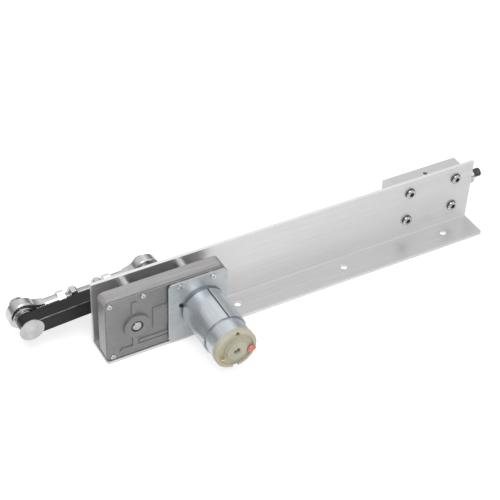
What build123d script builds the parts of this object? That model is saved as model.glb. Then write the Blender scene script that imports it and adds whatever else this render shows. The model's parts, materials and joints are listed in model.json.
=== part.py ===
"""Reciprocating linear actuator: a geared motor turns a crank, and a rod drives a slide shaft.

Frame: X runs along the slide, with the crank shaft at X = 0. Y = 0 is the front face of the
bracket's wall, with the motor at -Y and the crank at +Y. Z = 0 is the underside of the flange.
"""
import os
from math import acos, asin, atan2, cos, degrees, hypot, pi, radians, sin, sqrt, tan

from build123d import *

# Bracket
bracket_length = 375.0
bracket_height = 65.0
bracket_depth = 30.0
sheet = 3.0
left_end = -26.5
flange_hole_d = 6.6
flange_hole_pitch = 107.0
flange_hole_x = 208.5
flange_hole_y = -12.0

# Crank and connecting rod
shaft_z = 33.5
crank_radius = 75.0
crank_droop = 3.8
bar_height = 14.6
bar_front = 10.7
bar_rear = 23.8
rod_length = 110.0
pivot_z = 33.5
rod_y = 32.4
ball_r = 8.0
ball_width = 12.0
eye_r = 12.9
eye_width = 9.0
bolt_d = 8.0

# Slide
slide_z = 36.7
slide_y = 14.7
slide_d = 16.0
slide_end = 359.5
stud_end = 369.2

# Guide block
block_length = 73.0
block_height = 42.0
block_depth = 24.0
block_x = 305.5
block_screw_pitch_x = 49.5
block_screw_pitch_z = 30.4
bush_od = 19.0
bush_length = 30.0

# Gearbox
box_right = 81.0
box_bottom = 3.0
box_top = 66.0
box_rear = -11.0
seam_y = -24.8
cover_face = -26.5
box_wall = 2.4
box_corner = 5.0
post_d = 9.0
post_x = (0.5, 51.5)
post_z = (8.5, 59.5)

# Gear train: teeth and modules from the crank shaft back to the motor
output_teeth, output_module = 38, 1.0
second_teeth, second_module = 42, 0.8
first_teeth, first_module = 48, 0.6
pinion_teeth = 12
backlash = 0.12
pressure_angle = radians(20)

# Motor
motor_x = 58.6
motor_z = 33.1
plate_left = 27.5
plate_rear = -28.2
plate_front = -29.7
can_r = 18.1
can_end = -82.2
ring_r = 19.4
ring_end = -69.0
cap_r = 18.7
cap_end = -87.4
motor_shaft_d = 3.2

slip = 0.05
gap = 0.3

os.makedirs("parts", exist_ok=True)


def facing(y):
    """Plane across the Y axis at y, whose normal points at -Y and whose x and y are X and Z."""
    return Plane.XZ.offset(-y)


def along_x(x, y=slide_y, z=slide_z):
    """Plane across the X axis, whose normal points at +X."""
    return Plane(origin=(x, y, z), x_dir=(0, 1, 0), z_dir=(1, 0, 0))


def save(part, name):
    """Label a finished piece and write its STEP file."""
    part.part.label = name
    export_step(part.part, f"parts/{name}.step")


def involute(angle):
    return tan(angle) - angle


def flank_half_angle(r, teeth, module):
    """Half the angle that a tooth spans at radius r, with the backlash taken off."""
    pitch_r = teeth * module / 2
    base_r = pitch_r * cos(pressure_angle)
    at_pitch = (pi * module / 2 - backlash) / 2 / pitch_r
    return at_pitch + involute(pressure_angle) - involute(acos(min(1.0, base_r / r)))


def gear_points(teeth, module, phase):
    """Outline of a spur gear about its own centre, with a tooth centred on phase."""
    pitch_r = teeth * module / 2
    root_r = pitch_r - 1.25 * module
    base_r = pitch_r * cos(pressure_angle)
    radii = [root_r, max(root_r + 0.1 * module, base_r), pitch_r, pitch_r + 0.95 * module]
    points = []
    for tooth in range(teeth):
        middle = phase + 2 * pi * tooth / teeth
        for side, order in ((-1, radii), (1, radii[::-1])):
            for r in order:
                turn = middle + side * flank_half_angle(r, teeth, module)
                points.append((r * cos(turn), r * sin(turn)))
    return points


def meshing_phase(turn, teeth, phase, other_teeth):
    """Phase of a gear that meshes with one at phase, when it lies in direction turn from it."""
    return turn + pi - (pi - teeth * (turn - phase)) / other_teeth


def on_circles(centre_a, r_a, centre_b, r_b):
    """The upper point at r_a from centre_a and r_b from centre_b."""
    dx, dz = centre_b[0] - centre_a[0], centre_b[1] - centre_a[1]
    span = hypot(dx, dz)
    along = (r_a**2 - r_b**2 + span**2) / (2 * span)
    rise = sqrt(r_a**2 - along**2)
    return (
        centre_a[0] + (along * dx - rise * dz) / span,
        centre_a[1] + (along * dz + rise * dx) / span,
    )


def heading(start, end):
    return atan2(end[1] - start[1], end[0] - start[0])


# Centres of the shafts, in X and Z
crank_centre = (0.0, shaft_z)
motor_centre = (motor_x, motor_z)
first_turn = radians(200)
first_distance = (first_teeth + pinion_teeth) * first_module / 2
second_distance = (second_teeth + pinion_teeth) * second_module / 2
output_distance = (output_teeth + pinion_teeth) * output_module / 2
first_centre = (
    motor_x + first_distance * cos(first_turn),
    motor_z + first_distance * sin(first_turn),
)
second_centre = on_circles(crank_centre, output_distance, first_centre, second_distance)

# Tooth phases, worked out from the output gear to the motor
output_phase = 0.0
output_heading = heading(crank_centre, second_centre)
second_pinion_phase = meshing_phase(output_heading, output_teeth, output_phase, pinion_teeth)
second_heading = heading(second_centre, first_centre)
first_pinion_phase = meshing_phase(second_heading, second_teeth, 0.0, pinion_teeth)
first_heading = heading(first_centre, motor_centre)
motor_pinion_phase = meshing_phase(first_heading, first_teeth, 0.0, pinion_teeth)

# Crank pin, slide pivot and the line of the connecting rod, at rest
droop = radians(crank_droop)
pin_x = -crank_radius * cos(droop)
pin_z = shaft_z - crank_radius * sin(droop)
rod_rise = asin((pivot_z - pin_z) / rod_length)
pivot_x = pin_x + rod_length * cos(rod_rise)
rod_direction = (cos(rod_rise), 0, sin(rod_rise))
rod_plane = Plane(origin=(pin_x, rod_y, pin_z), x_dir=rod_direction, z_dir=(0, -1, 0))
rod_axis = Axis((pin_x, rod_y, pin_z), rod_direction)
bar_plane = Plane(
    origin=(0, bar_front, shaft_z),
    x_dir=(-cos(droop), 0, -sin(droop)),
    z_dir=(0, 1, 0),
)

# Places that more than one piece uses, in X and Z
posts = [(x, z) for x in post_x for z in post_z]
cover_screw_places = [(-22.8, 62.4), (6.4, 62.8), (-21.4, 7.4)]
plate_screw_places = [(37.9, 62.2), (67.1, 62.2), (67.1, 8.4)]
block_screw_places = [
    (block_x + i * block_screw_pitch_x / 2, slide_z + k * block_screw_pitch_z / 2)
    for i in (-1, 1)
    for k in (-1, 1)
]
box_middle_x = (left_end + box_right) / 2
box_middle_z = (box_bottom + box_top) / 2
box_width = box_right - left_end
box_height = box_top - box_bottom

# Bracket

post_screw_d = 4.0
block_screw_d = 6.0
output_hole_d = 15.0
with BuildPart() as angle_bracket:
    with BuildSketch(Plane.YZ.offset(left_end)):
        with BuildLine():
            Polyline(
                (sheet, 0),
                (sheet - bracket_depth, 0),
                (sheet - bracket_depth, sheet),
                (0, sheet),
                (0, bracket_height),
                (sheet, bracket_height),
                close=True,
            )
        make_face()
    extrude(amount=bracket_length)
    bend = angle_bracket.edges().filter_by(Axis.X)
    fillet(bend.filter_by_position(Axis.Z, -0.1, 0.1).sort_by(Axis.Y)[-1], radius=1.5)
    inner_bend = bend.filter_by_position(Axis.Z, sheet - 0.1, sheet + 0.1)
    fillet(inner_bend.sort_by(Axis.Y)[-1], radius=1.0)
    flange_corners = angle_bracket.edges().filter_by(Axis.Z).group_by(Axis.Y)[0]
    fillet(flange_corners, radius=2.0)
    with BuildSketch(facing(sheet)):
        with Locations(crank_centre):
            Circle(output_hole_d / 2)
        with Locations(*posts):
            Circle(post_screw_d / 2 + 0.15)
        with Locations(*block_screw_places):
            Circle(block_screw_d / 2 + 0.2)
    extrude(amount=sheet, mode=Mode.SUBTRACT)
    with BuildSketch(Plane.XY):
        with Locations((flange_hole_x, flange_hole_y)):
            with GridLocations(flange_hole_pitch, 1, 3, 1):
                Circle(flange_hole_d / 2)
    extrude(amount=sheet, mode=Mode.SUBTRACT)
save(angle_bracket, "angle_bracket")

# Gearbox housing: a cast box, open at the front, with a long boss for the crank shaft

output_boss_d = 21.0
rear_bush_od = 14.0
front_bush_od = 11.0
crank_shaft_d = 10.0
journal_d = 8.0
axle_d = {"first": 4.0, "second": 5.0}
floor_y = box_rear - box_wall
axle_places = {"first": first_centre, "second": second_centre}
screw_boss_d = 6.4

with BuildPart() as gearbox_housing:
    with BuildSketch(facing(box_rear)):
        with Locations((box_middle_x, box_middle_z)):
            RectangleRounded(box_width, box_height, box_corner)
    extrude(amount=box_rear - seam_y)
    fillet(gearbox_housing.faces().sort_by(Axis.Y)[-1].edges(), radius=1.2)
    with BuildSketch(facing(floor_y)):
        with Locations((box_middle_x, box_middle_z)):
            RectangleRounded(box_width - 2 * box_wall, box_height - 2 * box_wall, box_corner - box_wall)
        with Locations(*cover_screw_places, *plate_screw_places):
            Circle(screw_boss_d / 2, mode=Mode.SUBTRACT)
    extrude(amount=floor_y - seam_y, mode=Mode.SUBTRACT)
    with BuildSketch(facing(floor_y)):
        with Locations(*posts):
            Circle(4.0)
        for name, place in axle_places.items():
            with Locations(place):
                Circle(axle_d[name] / 2 + 1.2)
    extrude(amount=0.2)
    with BuildSketch(facing(box_rear)):
        with Locations(crank_centre):
            Circle(output_boss_d / 2)
    extrude(amount=box_rear)
    with BuildSketch(facing(0)):
        with Locations(crank_centre):
            Circle(rear_bush_od / 2 + 0.01)
    extrude(amount=-floor_y + 1, mode=Mode.SUBTRACT)
    with BuildSketch(facing(box_rear)):
        with Locations(*posts):
            Circle(post_screw_d / 2 + slip)
    extrude(amount=2.2, mode=Mode.SUBTRACT)
    with BuildSketch(facing(floor_y - 0.2)):
        for name, place in axle_places.items():
            with Locations(place):
                Circle(axle_d[name] / 2 + 0.01)
    extrude(amount=-1.6, mode=Mode.SUBTRACT)
    with BuildSketch(facing(seam_y)):
        with Locations(*cover_screw_places, *plate_screw_places):
            Circle(1.5 + slip)
    extrude(amount=-8, mode=Mode.SUBTRACT)
save(gearbox_housing, "gearbox_housing")

# Gearbox cover: a cast plate with the front bearing boss, raised ribs and pads for the motor

rib = 0.9
cover_boss_d = 23.0
cover_boss_face = cover_face - 2.0
shaft_hole_d = 13.2
bush_recess = 0.9
with BuildPart() as gearbox_cover:
    with BuildSketch(facing(seam_y)):
        with Locations((box_middle_x, box_middle_z)):
            RectangleRounded(box_width - 1.0, box_height - 1.0, box_corner - 0.5)
    extrude(amount=seam_y - cover_face)
    fillet(gearbox_cover.faces().sort_by(Axis.Y)[0].edges(), radius=0.8)
    with BuildSketch(facing(cover_face)):
        with Locations((-1.9, 53.0)):
            Rectangle(4.4, 12.0)
        with Locations((-1.4, 17.0)):
            Rectangle(4.4, 10.0)
        with Locations((9.0, 10.6)):
            SlotOverall(47.0, 4.2)
        with Locations((20.0, 15.3)):
            Rectangle(36.0, 3.4)
        with Locations((26.0, 35.4)):
            Rectangle(22.8, 22.2)
    extrude(amount=rib)
    with BuildSketch(facing(cover_face)):
        with Locations(crank_centre):
            Circle(cover_boss_d / 2)
    extrude(amount=2.0, taper=8)
    with BuildSketch(facing(cover_face)):
        with Locations(*plate_screw_places):
            Circle(screw_boss_d / 2)
        with Locations((77.3, 35.0)):
            SlotOverall(34.0, 4.6, rotation=90)
    extrude(amount=cover_face - plate_rear)
    with BuildSketch(facing(seam_y)):
        with Locations(crank_centre):
            Circle(front_bush_od / 2 + 0.01)
        with Locations(motor_centre):
            Circle(shaft_hole_d / 2)
        with Locations(*cover_screw_places, *plate_screw_places):
            Circle(1.7)
    extrude(amount=6, mode=Mode.SUBTRACT)
    with BuildSketch(facing(seam_y)):
        for name, place in axle_places.items():
            with Locations(place):
                Circle(axle_d[name] / 2 + 0.01)
    extrude(amount=1.2, mode=Mode.SUBTRACT)
save(gearbox_cover, "gearbox_cover")


def pan_screw(places, head_face, head_d, head_height, shank_d, shank_end, recess=0.9):
    """Pan-head screws with a cross recess, driven from -Y, as one group of solids."""
    with BuildPart() as screws:
        with BuildSketch(facing(head_face)):
            with Locations(*places):
                Circle(head_d / 2)
        extrude(amount=-head_height)
        fillet(screws.edges().group_by(Axis.Y)[0], radius=head_height * 0.4)
        with BuildSketch(facing(head_face + head_height)):
            with Locations(*places):
                Circle(shank_d / 2)
        extrude(amount=-(shank_end - head_face - head_height))
        with BuildSketch(facing(head_face)):
            with Locations(*places):
                Rectangle(head_d * 0.55, 0.6)
                Rectangle(0.6, head_d * 0.55)
        extrude(amount=-recess, mode=Mode.SUBTRACT)
    return screws


screw_depth = 7.0
save(
    pan_screw(cover_screw_places, cover_face - 1.4, 4.4, 1.4, 2.5, seam_y + screw_depth),
    "cover_screws",
)
save(
    pan_screw(plate_screw_places, plate_front - 1.6, 5.4, 1.6, 3.0, seam_y + screw_depth),
    "plate_screws",
)

with BuildPart() as spacer_posts:
    with BuildSketch(facing(0)):
        with Locations(*posts):
            Circle(post_d / 2)
            Circle(post_screw_d / 2 + 0.1, mode=Mode.SUBTRACT)
    extrude(amount=-box_rear)
save(spacer_posts, "spacer_posts")

with BuildPart() as post_screws:
    with BuildSketch(facing(sheet)):
        with Locations(*posts):
            Circle(3.9)
    extrude(amount=-2.4)
    fillet(post_screws.edges().group_by(Axis.Y)[-1], radius=1.0)
    with BuildSketch(facing(sheet)):
        with Locations(*posts):
            Circle(post_screw_d / 2)
    extrude(amount=sheet - box_rear + 2.0)
    with BuildSketch(facing(sheet + 2.4)):
        with Locations(*posts):
            Rectangle(4.4, 0.7)
            Rectangle(0.7, 4.4)
    extrude(amount=1.1, mode=Mode.SUBTRACT)
save(post_screws, "post_screws")

with BuildPart() as output_rear_bush:
    with BuildSketch(facing(0)):
        with Locations(crank_centre):
            Circle(rear_bush_od / 2)
            Circle(crank_shaft_d / 2 + slip, mode=Mode.SUBTRACT)
    extrude(amount=-floor_y)
save(output_rear_bush, "output_rear_bush")

with BuildPart() as output_front_bush:
    with BuildSketch(facing(seam_y)):
        with Locations(crank_centre):
            Circle(front_bush_od / 2)
            Circle(journal_d / 2 + slip, mode=Mode.SUBTRACT)
    extrude(amount=seam_y - cover_boss_face - bush_recess)
save(output_front_bush, "output_front_bush")

for name, place in axle_places.items():
    with BuildPart() as axle:
        with BuildSketch(facing(floor_y + 1.3)):
            with Locations(place):
                Circle(axle_d[name] / 2)
        extrude(amount=floor_y + 1.3 - seam_y + 1.1)
    save(axle, f"{name}_axle")

# Gears


def spur_gear(centre, teeth, module, phase, bore_d, rear, front, lightening=0.0):
    """A spur gear about centre, from y = rear to y = front, with a dished web if asked."""
    with BuildPart() as gear:
        with BuildSketch(facing(rear).offset(0)):
            with BuildLine():
                Polyline(
                    *[(centre[0] + x, centre[1] + z) for x, z in gear_points(teeth, module, phase)],
                    close=True,
                )
            make_face()
            with Locations(centre):
                Circle(bore_d / 2, mode=Mode.SUBTRACT)
        extrude(amount=rear - front)
        if lightening:
            with BuildSketch(facing(front)):
                with Locations(centre):
                    Circle(teeth * module / 2 - 3.2 * module)
                    Circle(bore_d / 2 + 2.6, mode=Mode.SUBTRACT)
            extrude(amount=-lightening, mode=Mode.SUBTRACT)
    return gear


layer_y = {"output": (-13.9, -18.4), "second": (-18.9, -21.4), "first": (-21.8, -23.7)}
save(
    spur_gear(crank_centre, output_teeth, output_module, output_phase,
              crank_shaft_d + 0.02, *layer_y["output"], lightening=1.5),
    "output_gear",
)
save(
    spur_gear(second_centre, pinion_teeth, output_module, second_pinion_phase,
              axle_d["second"] + 2 * slip, -13.8, layer_y["second"][0]),
    "second_pinion",
)
save(
    spur_gear(second_centre, second_teeth, second_module, 0.0,
              axle_d["second"] + 2 * slip, *layer_y["second"], lightening=0.8),
    "second_gear",
)
save(
    spur_gear(first_centre, pinion_teeth, second_module, first_pinion_phase,
              axle_d["first"] + 2 * slip, -13.8, layer_y["first"][0]),
    "first_pinion",
)
save(
    spur_gear(first_centre, first_teeth, first_module, 0.0,
              axle_d["first"] + 2 * slip, *layer_y["first"]),
    "first_gear",
)
save(
    spur_gear(motor_centre, pinion_teeth, first_module, motor_pinion_phase,
              motor_shaft_d + 0.02, -21.6, -25.6),
    "motor_pinion",
)

# Motor

plate_middle_x = (plate_left + box_right) / 2
plate_height = box_top - 4.5
motor_screw_reach = 12.5
motor_screw_places = [(motor_x - motor_screw_reach, motor_z), (motor_x + motor_screw_reach, motor_z)]
with BuildPart() as motor_plate:
    with BuildSketch(facing(plate_rear)):
        with Locations((plate_middle_x, box_top - plate_height / 2)):
            RectangleRounded(box_right - plate_left, plate_height, 4.0)
        with Locations(motor_centre):
            Circle(6.6, mode=Mode.SUBTRACT)
        with Locations((39.2, 40.6)):
            SlotOverall(6.5, 3.4, rotation=-60, mode=Mode.SUBTRACT)
        with Locations(*plate_screw_places, *motor_screw_places):
            Circle(1.65, mode=Mode.SUBTRACT)
    extrude(amount=plate_rear - plate_front)
    chamfer(motor_plate.edges().group_by(Axis.Y)[0].filter_by(GeomType.LINE), length=0.3)
save(motor_plate, "motor_plate")

can_wall = 1.0
can_floor = 1.6
pilot_end = -27.2
front_bush_d = 10.0
with BuildPart() as motor_can:
    with BuildSketch(facing(plate_front)):
        with Locations(motor_centre):
            Circle(can_r)
    extrude(amount=plate_front - can_end)
    fillet(motor_can.edges().group_by(Axis.Y)[-1], radius=1.5)
    with BuildSketch(facing(plate_front - can_floor)):
        with Locations(motor_centre):
            Circle(can_r - can_wall)
    extrude(amount=plate_front - can_floor - can_end, mode=Mode.SUBTRACT)
    with BuildSketch(facing(pilot_end)):
        with Locations(motor_centre):
            Circle(6.5)
    extrude(amount=pilot_end - plate_front)
    with BuildSketch(facing(pilot_end)):
        with Locations(motor_centre):
            Circle(front_bush_d / 2 + 0.01)
    extrude(amount=6, mode=Mode.SUBTRACT)
    with BuildSketch(facing(plate_front)):
        with Locations(*motor_screw_places):
            Circle(1.5 + slip)
    extrude(amount=can_floor, mode=Mode.SUBTRACT)
save(motor_can, "motor_can")

with BuildPart() as motor_screws:
    with BuildSketch(facing(plate_rear)):
        with Locations(*motor_screw_places):
            Circle(2.6)
    extrude(amount=-1.1)
    with BuildSketch(facing(plate_rear)):
        with Locations(*motor_screw_places):
            Circle(1.5)
    extrude(amount=plate_rear - plate_front + can_floor + 0.5)
save(motor_screws, "motor_screws")

seam_width = 0.6
ring_seam_angle = 82
with BuildPart() as flux_ring:
    with BuildSketch(facing(plate_front - 1.6)):
        with Locations(motor_centre):
            Circle(ring_r)
            Circle(can_r + 0.01, mode=Mode.SUBTRACT)
            with Locations(Location((0, 0, 0), ring_seam_angle)):
                with Locations((ring_r, 0)):
                    Rectangle(6, seam_width, mode=Mode.SUBTRACT)
    extrude(amount=plate_front - 1.6 - ring_end)
save(flux_ring, "flux_ring")

magnet_inner_r = 14.6
magnet_start, magnet_end = -36.0, -72.0
with BuildPart() as motor_magnets:
    with BuildSketch(facing(magnet_start)):
        with Locations(motor_centre):
            Circle(can_r - can_wall - 0.02)
            Circle(magnet_inner_r, mode=Mode.SUBTRACT)
            Rectangle(60, 12, mode=Mode.SUBTRACT)
    extrude(amount=magnet_start - magnet_end)
save(motor_magnets, "motor_magnets")

cap_inner_y = can_end + 3.0
rear_bush_r = 4.0
rear_bush_length = 4.2
cap_boss_r = 8.8
cap_hole_r = 2.9
cap_notch = (5.0, 3.4)
cap_vent = (0.6, 16.4, 2.0)
cap_boss_end = cap_end - 1.6
commutator_y = (-74.5, -80.0)
commutator_r = 5.0
terminal_places = [(-12.9, -3.0), (12.9, -3.0)]
blade = (3.6, 0.9)
with BuildPart() as motor_end_cap:
    with BuildSketch(facing(can_end)):
        with Locations(motor_centre):
            Circle(cap_r)
    extrude(amount=can_end - cap_end)
    chamfer(motor_end_cap.edges().group_by(Axis.Y)[0], length=1.0)
    with BuildSketch(facing(cap_inner_y)):
        with Locations(motor_centre):
            Circle(can_r - can_wall - 0.05)
            Circle(can_r - can_wall - 2.0, mode=Mode.SUBTRACT)
    extrude(amount=cap_inner_y - can_end)
    with BuildSketch(facing(cap_end)):
        with Locations(motor_centre):
            Circle(cap_boss_r)
    extrude(amount=cap_end - cap_boss_end)
    with BuildSketch(facing(cap_end)):
        with Locations(motor_centre):
            Circle(15.2)
            Circle(10.6, mode=Mode.SUBTRACT)
    extrude(amount=-1.2, mode=Mode.SUBTRACT)
    with BuildSketch(facing(can_end)):
        with Locations(motor_centre):
            Circle(cap_hole_r)
            with Locations((0, -cap_r)):
                Rectangle(cap_notch[0], 2 * cap_notch[1])
            with Locations(*terminal_places):
                Rectangle(*blade)
            with Locations(cap_vent[:2]):
                Circle(cap_vent[2])
    extrude(amount=10, mode=Mode.SUBTRACT)
    with BuildSketch(facing(can_end)):
        with Locations(motor_centre):
            Circle(rear_bush_r + 0.01)
    extrude(amount=rear_bush_length, mode=Mode.SUBTRACT)
save(motor_end_cap, "motor_end_cap")

with BuildPart() as motor_rear_bush:
    with BuildSketch(facing(can_end)):
        with Locations(motor_centre):
            Circle(rear_bush_r)
            Circle(motor_shaft_d / 2 + slip, mode=Mode.SUBTRACT)
    extrude(amount=rear_bush_length)
save(motor_rear_bush, "motor_rear_bush")

with BuildPart() as motor_front_bush:
    with BuildSketch(facing(pilot_end)):
        with Locations(motor_centre):
            Circle(front_bush_d / 2)
            Circle(motor_shaft_d / 2 + slip, mode=Mode.SUBTRACT)
    extrude(amount=5)
save(motor_front_bush, "motor_front_bush")

with BuildPart() as motor_terminals:
    with BuildSketch(facing(commutator_y[0])):
        with Locations(motor_centre):
            with Locations(*terminal_places):
                Rectangle(*blade)
    extrude(amount=commutator_y[0] - cap_end + 3.0)
save(motor_terminals, "motor_terminals")

with BuildPart() as motor_brushes:
    with BuildSketch(facing(commutator_y[0] - 1.0)):
        with Locations(motor_centre):
            with Locations(*[(side * 9.4, -0.55) for side in (-1, 1)]):
                Rectangle(8.2, 4.0)
            Circle(commutator_r + slip, mode=Mode.SUBTRACT)
    extrude(amount=4.0)
save(motor_brushes, "motor_brushes")

with BuildPart() as motor_shaft:
    with BuildSketch(facing(-21.4)):
        with Locations(motor_centre):
            Circle(motor_shaft_d / 2)
    extrude(amount=-21.4 - cap_end - 0.2)
    chamfer(motor_shaft.edges().group_by(Axis.Y)[0], length=0.3)
save(motor_shaft, "motor_shaft")

armature_r = 14.1
armature_y = (-38.0, -70.0)
slots = 5
slot_width = 2.6
slot_bottom_r = 5.0
winding_r = 12.2
with BuildPart() as armature:
    with BuildSketch(facing(armature_y[0])):
        with Locations(motor_centre):
            Circle(armature_r)
            with PolarLocations((armature_r + slot_bottom_r) / 2, slots, start_angle=90):
                Rectangle(armature_r - slot_bottom_r + 1.0, slot_width, mode=Mode.SUBTRACT)
            Circle(motor_shaft_d / 2 + 0.01, mode=Mode.SUBTRACT)
    extrude(amount=armature_y[0] - armature_y[1])
save(armature, "armature")

with BuildPart() as armature_windings:
    with BuildSketch(facing(armature_y[0])):
        with Locations(motor_centre):
            with PolarLocations((winding_r + slot_bottom_r + 0.6) / 2, slots, start_angle=90):
                Rectangle(winding_r - slot_bottom_r - 0.6, slot_width - 0.3)
    extrude(amount=armature_y[0] - armature_y[1])
    with BuildSketch(facing(armature_y[0] + 4.0)):
        with Locations(motor_centre):
            Circle(winding_r)
            Circle(motor_shaft_d / 2 + 0.8, mode=Mode.SUBTRACT)
    extrude(amount=4.0)
    with BuildSketch(facing(armature_y[1])):
        with Locations(motor_centre):
            Circle(winding_r)
            Circle(motor_shaft_d / 2 + 0.8, mode=Mode.SUBTRACT)
    extrude(amount=3.5)
save(armature_windings, "armature_windings")

with BuildPart() as commutator:
    with BuildSketch(facing(commutator_y[0] + 0.8)):
        with Locations(motor_centre):
            Circle(commutator_r)
            Circle(motor_shaft_d / 2 + 0.01, mode=Mode.SUBTRACT)
    extrude(amount=commutator_y[0] + 0.8 - commutator_y[1])
save(commutator, "commutator")

# Crank

output_shaft_front = cover_boss_face - 0.3
shaft_step = seam_y + 0.4
shaft_rear = bar_rear - 0.5
flat_depth = 0.6
set_screw_d = 4.0
bar_inner_end = 8.5
bar_outer_end = 8.0
bar_length = crank_radius + bar_inner_end + bar_outer_end
pin_plane = Plane(origin=(pin_x, bar_front, pin_z), x_dir=(1, 0, 0), z_dir=(0, 0, 1))
pin_axis = Axis((pin_x, 0, pin_z), (0, 1, 0))
pin_nut_height = 7.0
pin_end = rod_y + ball_width / 2 + pin_nut_height + 0.6
washer_thickness = 0.8
dome_r = 10.4
dome_rim = 0.8
dome_height = 3.0
dome_radius = (dome_r**2 + (dome_height - dome_rim) ** 2) / 2 / (dome_height - dome_rim)

with BuildPart() as output_shaft:
    with BuildSketch(facing(shaft_rear)):
        with Locations(crank_centre):
            Circle(crank_shaft_d / 2)
    extrude(amount=shaft_rear - shaft_step)
    with BuildSketch(facing(shaft_step)):
        with Locations(crank_centre):
            Circle(journal_d / 2)
    extrude(amount=shaft_step - output_shaft_front)
    chamfer(output_shaft.edges().group_by(Axis.Y)[0], length=0.6)
    with BuildSketch(bar_plane):
        with Locations((-crank_shaft_d / 2, 0)):
            Rectangle(2 * flat_depth, crank_shaft_d)
    extrude(amount=shaft_rear - bar_front, mode=Mode.SUBTRACT)
save(output_shaft, "output_shaft")

with BuildPart() as crank_bar:
    with BuildSketch(bar_plane):
        with Locations(((crank_radius + bar_outer_end - bar_inner_end) / 2, 0)):
            RectangleRounded(bar_length, bar_height, 5.5)
    extrude(amount=bar_rear - bar_front)
    chamfer(crank_bar.edges().filter_by(Axis((0, 0, 0), tuple(bar_plane.x_dir))), length=0.5)
    with BuildSketch(bar_plane):
        Circle(crank_shaft_d / 2 + 0.02)
        with Locations((crank_radius, 0)):
            Circle(bolt_d / 2 + 0.02)
    extrude(amount=bar_rear - bar_front, mode=Mode.SUBTRACT)
    inner_end = Plane(
        origin=bar_plane.from_local_coords((-bar_inner_end, 0, (bar_rear - bar_front) / 2)),
        x_dir=(0, 1, 0),
        z_dir=bar_plane.x_dir,
    )
    with BuildSketch(inner_end):
        Circle(set_screw_d / 2 + 0.02)
    extrude(amount=bar_inner_end, mode=Mode.SUBTRACT)
save(crank_bar, "crank_bar")

with BuildPart() as crank_set_screw:
    with BuildSketch(inner_end.offset(0.6)):
        Circle(set_screw_d / 2)
    extrude(amount=bar_inner_end - 0.6 - crank_shaft_d / 2 + flat_depth)
    with BuildSketch(inner_end.offset(0.6)):
        RegularPolygon(1.0, 6, major_radius=False)
    extrude(amount=1.6, mode=Mode.SUBTRACT)
save(crank_set_screw, "crank_set_screw")

with BuildPart() as crank_pin:
    with BuildSketch(pin_plane):
        with BuildLine():
            Line((0, 0), (0, -dome_height))
            RadiusArc((0, -dome_height), (dome_r, -dome_rim), dome_radius)
            Line((dome_r, -dome_rim), (dome_r, 0))
            Line((dome_r, 0), (0, 0))
        make_face()
    revolve(axis=pin_axis)
    with BuildSketch(facing(bar_front)):
        with Locations((pin_x, pin_z)):
            Circle(bolt_d / 2)
    extrude(amount=-(pin_end - bar_front))
    chamfer(crank_pin.edges().group_by(Axis.Y)[-1], length=0.8)
save(crank_pin, "crank_pin")


def ring(place, start, end, outer_r, inner_r):
    """A plain ring about an axis along Y through place, from y = start back to y = end."""
    with BuildPart() as part:
        with BuildSketch(facing(start)):
            with Locations(place):
                Circle(outer_r)
                Circle(inner_r, mode=Mode.SUBTRACT)
        extrude(amount=start - end)
    return part


def hex_nut(plane, across_flats, thickness, bore_d, turn=0):
    """A hexagon nut on a plane, with its faces chamfered, and thickness along the normal."""
    with BuildPart() as nut:
        with BuildSketch(plane):
            RegularPolygon(across_flats / 2, 6, major_radius=False, rotation=turn)
        extrude(amount=thickness)
        for face, taper in ((plane, 1), (plane.offset(thickness), -1)):
            with BuildSketch(face):
                Circle(across_flats)
                Circle(across_flats / 2 - 0.05, mode=Mode.SUBTRACT)
            extrude(amount=taper * 1.0, taper=-60, mode=Mode.SUBTRACT)
        with BuildSketch(plane):
            Circle(bore_d / 2)
        extrude(amount=thickness, mode=Mode.SUBTRACT)
    return nut


def ball(x, z):
    """The ball of a rod end, centred at x and z on the line of the rod, bored for its bolt."""
    flat_r = sqrt(ball_r**2 - (ball_width / 2) ** 2)
    middle = Plane(origin=(x, rod_y, z), x_dir=(1, 0, 0), z_dir=(0, 0, 1))
    with BuildPart() as part:
        with BuildSketch(middle):
            with BuildLine():
                bore = Line((bolt_d / 2 + 0.02, ball_width / 2), (bolt_d / 2 + 0.02, -ball_width / 2))
                low = Line(bore @ 1, (flat_r, -ball_width / 2))
                curve = ThreePointArc(low @ 1, (ball_r, 0), (flat_r, ball_width / 2))
                Line(curve @ 1, bore @ 0)
            make_face()
        revolve(axis=Axis((x, 0, z), (0, 1, 0)))
    return part


pin_place = (pin_x, pin_z)
pivot_place = (pivot_x, pivot_z)
nut_across = 13.0
pivot_nut_height = 4.8
nut_start = rod_y + ball_width / 2
ball_front = rod_y - ball_width / 2
spacer_r = 10.0
spacer_rim = 1.4

save(ring(pin_place, bar_rear + washer_thickness, bar_rear, 8.0, bolt_d / 2 + 0.1), "pin_washer")

with BuildPart() as pin_spacer:
    with BuildSketch(facing(ball_front)):
        with Locations(pin_place):
            Circle(spacer_r)
    extrude(amount=spacer_rim)
    with BuildSketch(facing(ball_front)):
        with Locations(pin_place):
            Circle(5.5)
    extrude(amount=ball_front - bar_rear - washer_thickness)
    with BuildSketch(facing(ball_front)):
        with Locations(pin_place):
            Circle(bolt_d / 2 + 0.1)
    extrude(amount=4, mode=Mode.SUBTRACT)
save(pin_spacer, "pin_spacer")

save(ball(pin_x, pin_z), "pin_ball")
nut_plane = Plane(origin=(pin_x, nut_start, pin_z), x_dir=(1, 0, 0), z_dir=(0, 1, 0))
save(hex_nut(nut_plane, nut_across, pin_nut_height, bolt_d + 0.04, turn=30), "pin_nut")

# Connecting rod

rod_end_reach = 37.5
rod_end_hex = 6.5
rod_end_across = 13.0
shank_r = 5.5
shank_start = 10.4
neck_end = 19.0
neck_width = 8.0
left_nut_gap = 4.2
right_nut_gap = 2.4
stud_depth = 14.0
thread_d = 8.0


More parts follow.
